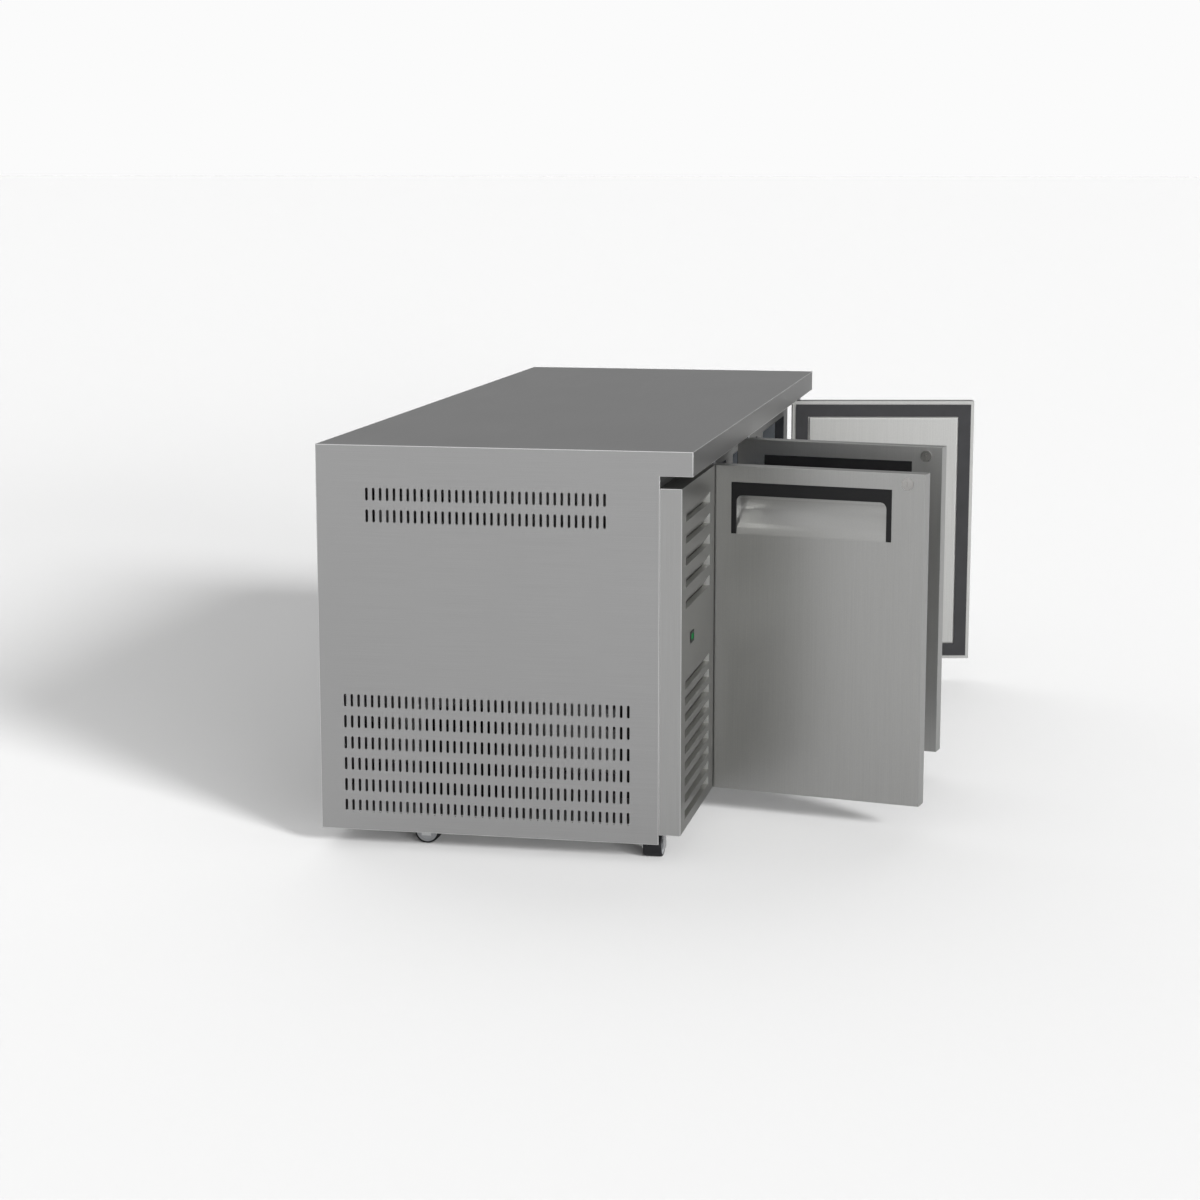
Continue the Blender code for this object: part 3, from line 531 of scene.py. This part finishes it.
def grille_skin():
    """The louvred tray, with its outer corner bent round and given a painted highlight, painted shade on its face, and
    painted light on its return and on the louvres' end walls.
    """
    low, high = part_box("grille_panel")
    shape = cad_shape("grille_panel")
    round_edges(shape, lambda spots: all(abs(spot.x - low[0]) < WELD and abs(spot.y - low[1]) < WELD for spot in spots))
    # The tray's face gets the darker steel: painted shade.
    skin = finish("grille_skin", shape, "tray_face_shaded_steel", 40)
    # The return gets the lighter steel: painted light.
    add_painted_tone(skin, "return_lit_steel", lambda face: face.normal.x < -0.7 and face.center.x < low[0] + RETURN_REACH)
    # The bend gets the near-white steel: a painted highlight.
    add_painted_tone(skin, "painted_highlight_steel", lambda face: is_bend(face) and face.center.x < low[0] + BEND_RADIUS)
    # The louvres' end walls get the paler steel: painted light.
    add_painted_tone(skin, "louvre_end_lit_steel", lambda face: face.normal.x < -0.7 and face.center.x > low[0] + LOUVRE_START)
    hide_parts("grille_panel")
    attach(skin, "cabinet")


def rear_slats():
    """Slanted slats behind the rear panel's windows."""
    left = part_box("side_panel_left")[0][0] + WINDOW_INSET
    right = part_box("grille_panel")[1][0] - WINDOW_INSET
    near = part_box("rear_panel")[0][1] - SLAT_GAP
    deep = near - SLAT_DEPTH
    shape = bmesh.new()
    for index in range(WINDOW_COUNT):
        bottom = WINDOW_FIRST + index * WINDOW_PITCH
        upper = bottom + WINDOW_HEIGHT + SLAT_OVERLAP
        lower = bottom - SLAT_OVERLAP
        outline = ((near, upper), (near, upper + SLAT_THICKNESS), (deep, lower), (deep, lower - SLAT_THICKNESS))
        ends = [[shape.verts.new((x, y, z)) for y, z in outline] for x in (left, right)]
        shape.faces.new(ends[0])
        shape.faces.new(ends[1][::-1])
        for corner in range(4):
            after = (corner + 1) % 4
            shape.faces.new((ends[0][corner], ends[1][corner], ends[1][after], ends[0][after]))
    slats = finish("rear_slats", shape, "side_steel")
    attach(slats, "cabinet")


# ---- Doors --------------------------------------------------------------------------------
def door_skin(number):
    """The door's pressed outer skin, as in the CAD but with its finger scoop shaded as one soft curve."""
    node = "door_%d_body" % number
    skin = finish("door_%d_skin" % number, cad_shape(node), "door_steel", 32)
    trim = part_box("door_%d_handle" % number)
    # The scoop's faces get a darker copy of the door steel: painted shade in the recess.
    add_painted_tone(skin, "scoop_shaded_steel", lambda face: abs(face.normal.z) > 0.03 and trim[0][2] < face.center.z < trim[1][2])
    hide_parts(node)
    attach(skin, "door_%d" % number)


# ---- Castors ------------------------------------------------------------------------------
def spin_profile(shape, profile, segments, centre, axis):
    """Turns a closed profile of (radius, along) points about an axis through the centre."""
    rings = []
    for index in range(segments):
        turn = 2 * math.pi * index / segments
        ring = []
        for radius, along in profile:
            across = (radius * math.cos(turn), radius * math.sin(turn))
            spot = (along, *across) if axis == "X" else (across[0], along, across[1])
            ring.append(shape.verts.new(Vector(centre) + Vector(spot)))
        rings.append(ring)
    count = len(profile)
    for index in range(segments):
        after = (index + 1) % segments
        for spot in range(count):
            later = (spot + 1) % count
            shape.faces.new((rings[index][spot], rings[after][spot], rings[after][later], rings[index][later]))


def castor_wheel(number):
    """Rubber tyre with rounded shoulders on a grey hub."""
    node = "castor_%d_wheel" % number
    low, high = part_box(node)
    centre = [(low[axis] + high[axis]) / 2 for axis in range(3)]
    sizes = [high[axis] - low[axis] for axis in range(3)]
    axis = "X" if sizes[0] < sizes[1] else "Y"
    half = min(sizes[0], sizes[1]) / 2
    radius = centre[2]
    shoulder = TYRE_SHOULDER
    tread = [(radius * TYRE_SEAT, -half + TYRE_SEAT_DEPTH), (radius - shoulder, -half)]
    for index in range(1, 5):
        turn = math.radians(90) * index / 4
        tread.append((radius - shoulder + shoulder * math.sin(turn), -half + shoulder * (1 - math.cos(turn))))
    for index in range(5):
        turn = math.radians(90) * index / 4
        tread.append((radius - shoulder + shoulder * math.cos(turn), half - shoulder * (1 - math.sin(turn))))
    tread.append((radius * TYRE_SEAT, half - TYRE_SEAT_DEPTH))
    shape = bmesh.new()
    spin_profile(shape, tread, 48, centre, axis)
    tyre = finish("castor_%d_tyre" % number, shape, "tread", 35)
    hub_steps = ((HUB_BORE, HUB_BOSS_DEPTH), (HUB_BOSS, HUB_BOSS_DEPTH), (HUB_BOSS_FOOT, HUB_BOSS_FOOT_DEPTH),
                 (radius * HUB_DISH, HUB_DISH_DEPTH), (radius * HUB_RIB, HUB_EDGE_DEPTH),
                 (radius * HUB_EDGE, HUB_EDGE_DEPTH))
    hub_profile = [(step, -half + depth) for step, depth in hub_steps]
    hub_profile += [(step, half - depth) for step, depth in reversed(hub_steps)]
    shape = bmesh.new()
    spin_profile(shape, hub_profile, 40, centre, axis)
    hub = finish("castor_%d_hub" % number, shape, "hub", 35)
    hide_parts(node)
    for piece in (tyre, hub):
        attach(piece, "castor_%d_roller" % number)


# ---- Materials of the CAD nodes that stay -------------------------------------------------
def paint_nodes():
    finishes = {
        "side_panel_right": "side_steel", "rear_panel": "side_steel", "base_panel": "side_steel",
        # The front frame's near-black steel is painted shade from the lip above it.
        "machine_partition": "side_steel", "front_frame": "frame_shaded_steel", "insulation": "foam",
        "inner_liner": "liner_steel", "controller_bezel": "black", "controller_display": "display",
        "condenser": "fins", "evaporator_coil": "fins", "evaporator_cover": "liner_steel",
        "fan_shroud": "paint", "fan_motor": "zinc", "compressor": "paint", "power_inlet": "black",
        "condenser_fan": "fan_plastic", "evaporator_fan": "fan_plastic",
    }
    for number in (1, 2, 3):
        finishes["breaker_strip_%d" % number] = "breaker"
        finishes["hinge_top_%d" % number] = "zinc"
        finishes["hinge_bottom_%d" % number] = "zinc"
        finishes["door_%d_inner_panel" % number] = "inner_steel"
        finishes["door_%d_gasket" % number] = "gasket"
        finishes["door_%d_handle" % number] = "black"
        finishes["door_%d_lock" % number] = "lock"
    for number in (1, 2, 3, 4):
        finishes["castor_%d_plate" % number] = "zinc"
        # The forks' paler metal is painted light, making up for the dark underside they reflect.
        finishes["castor_%d_fork" % number] = "fork"
    for node, finish_name in finishes.items():
        piece = NODES[node]
        piece.data.materials.clear()
        piece.data.materials.append(MATERIALS[finish_name])


# ---- Studio -------------------------------------------------------------------------------
def studio_floor():
    """A plain pale floor. Every ray but the camera's meets a darker one, which sets how bright it is in the steel."""
    shape = bmesh.new()
    bmesh.ops.create_grid(shape, x_segments=1, y_segments=1, size=FLOOR_SIZE / 2)
    mesh = bpy.data.meshes.new("studio_floor")
    shape.to_mesh(mesh)
    shape.free()
    material = bpy.data.materials.new("studio_floor")
    material.use_nodes = True
    nodes, links = material.node_tree.nodes, material.node_tree.links
    nodes.remove(nodes["Principled BSDF"])
    add_ray_mix(nodes, links, nodes["Material Output"].inputs["Surface"],
                floor_side(nodes, FLOOR_IN_REFLECTIONS), floor_side(nodes, FLOOR_COLOUR))
    mesh.materials.append(material)
    floor = bpy.data.objects.new("studio_floor", mesh)
    bpy.context.scene.collection.objects.link(floor)
    return floor


def floor_side(nodes, colour):
    shader = nodes.new("ShaderNodeBsdfDiffuse")
    shader.inputs["Color"].default_value = (*colour, 1.0)
    return shader


def add_ray_mix(nodes, links, target, for_light, for_camera):
    """Gives the camera's own rays one shader, and every other ray another."""
    path = nodes.new("ShaderNodeLightPath")
    either = nodes.new("ShaderNodeMixShader")
    links.new(path.outputs["Is Camera Ray"], either.inputs[0])
    links.new(for_light.outputs[0], either.inputs[1])
    links.new(for_camera.outputs[0], either.inputs[2])
    links.new(either.outputs[0], target)


def surround():
    """White to the camera. As a light it is brightest towards -X and fades towards +X."""
    world = bpy.context.scene.world or bpy.data.worlds.new("studio")
    bpy.context.scene.world = world
    world.use_nodes = True
    nodes, links = world.node_tree.nodes, world.node_tree.links
    sky = nodes["Background"]
    way = nodes.new("ShaderNodeTexCoord")
    split = nodes.new("ShaderNodeSeparateXYZ")
    level = nodes.new("ShaderNodeMapRange")
    level.inputs["From Min"].default_value = -1.0
    level.inputs["From Max"].default_value = 1.0
    level.inputs["To Min"].default_value = SKY_LEFT
    level.inputs["To Max"].default_value = SKY_RIGHT
    links.new(way.outputs["Generated"], split.inputs[0])
    links.new(split.outputs["X"], level.inputs["Value"])
    links.new(level.outputs["Result"], sky.inputs["Strength"])
    sky.inputs["Color"].default_value = (1.0, 1.0, 1.0, 1.0)
    paper = nodes.new("ShaderNodeBackground")
    paper.inputs["Color"].default_value = (1.0, 1.0, 1.0, 1.0)
    paper.inputs["Strength"].default_value = PAPER_STRENGTH
    add_ray_mix(nodes, links, nodes["World Output"].inputs["Surface"], sky, paper)


def far_lamp(name, setting, receivers):
    """A far soft lamp that lights only its receivers."""
    heading, height, width, strength = setting
    data = bpy.data.lights.new(name, "SUN")
    data.energy = strength
    data.angle = math.radians(width)
    lamp = bpy.data.objects.new(name, data)
    turn, rise = math.radians(heading), math.radians(height)
    shine = Vector((math.cos(rise) * math.cos(turn), math.cos(rise) * math.sin(turn), -math.sin(rise)))
    lamp.rotation_euler = shine.to_track_quat("-Z", "Y").to_euler()
    bpy.context.scene.collection.objects.link(lamp)
    group = bpy.data.collections.new(name + "_receivers")
    for piece in receivers:
        group.objects.link(piece)
    lamp.light_linking.receiver_collection = group


def lamps(floor):
    pieces = [piece for piece in bpy.context.scene.objects if piece.type == "MESH" and piece is not floor]
    for index, setting in enumerate(FLOOR_LAMPS):
        far_lamp("floor_lamp_%d" % index, setting, [floor])
    far_lamp("side_lamp", SIDE_LAMP, [piece for piece in pieces if piece.name != "worktop_skin"])
    for index, setting in enumerate(EDGE_LAMPS):
        far_lamp("edge_lamp_%d" % index, setting, pieces)
    bpy.context.scene.view_settings.view_transform = "Standard"


def camera():
    data = bpy.data.cameras.new("camera")
    data.lens = CAMERA_LENS_MM
    data.sensor_width = 36.0
    data.clip_end = 1000.0
    shot = bpy.data.objects.new("camera", data)
    shot.location = CAMERA_PLACE
    shot.rotation_euler = (math.radians(90 + CAMERA_TILT_DEG), 0.0, math.radians(CAMERA_HEADING_DEG - 90))
    bpy.context.scene.collection.objects.link(shot)
    bpy.context.scene.camera = shot


# ---- Everything ---------------------------------------------------------------------------
camera()
surround()
paint_nodes()
side_panel_left()
for shelf_number in (1, 2, 3):
    wire_shelf(shelf_number)
for castor_number in (1, 2, 3, 4):
    castor_wheel(castor_number)
for door_number in (1, 2, 3):
    door_skin(door_number)
worktop_skin()
grille_skin()
rear_slats()
lamps(studio_floor())
